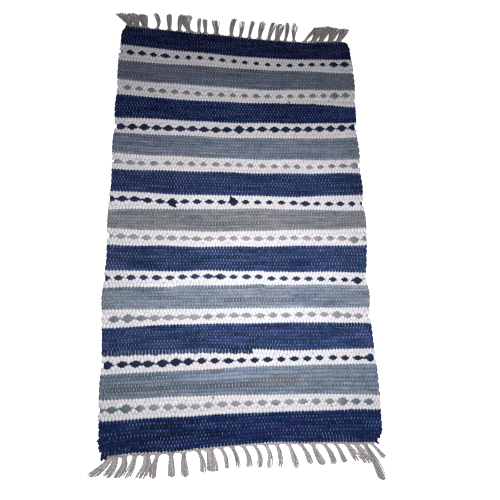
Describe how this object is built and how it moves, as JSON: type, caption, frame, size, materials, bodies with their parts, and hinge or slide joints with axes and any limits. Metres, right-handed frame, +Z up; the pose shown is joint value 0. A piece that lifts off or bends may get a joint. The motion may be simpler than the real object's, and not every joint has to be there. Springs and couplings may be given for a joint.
{
  "type": "dhurrie",
  "caption": "Flat hand-woven cotton rag rug in navy, blue-grey and white stripes with rows of lens-shaped lozenges, and a short knotless warp fringe at both ends.",
  "frame": {"origin": "on the floor under the middle of the rug's outline, fringes included", "axes": "+X across the rug to the right, +Y along the warp towards the far end, +Z up"},
  "size_m": [0.6116, 1.1166, 0.0072],
  "materials": {
    "rag_navy": "matt cotton rag, navy with purple and blue patches",
    "rag_grey": "matt cotton rag, streaked blue-grey and olive-grey",
    "rag_white": "matt cotton rag, white with faint coloured flecks",
    "warp_yarn": "matt twisted cotton yarn, undyed grey-beige"
  },
  "bodies": {
    "root": {"cloth": "rag_navy", "fringe_far": "warp_yarn", "fringe_near": "warp_yarn"}
  },
  "joints": []
}
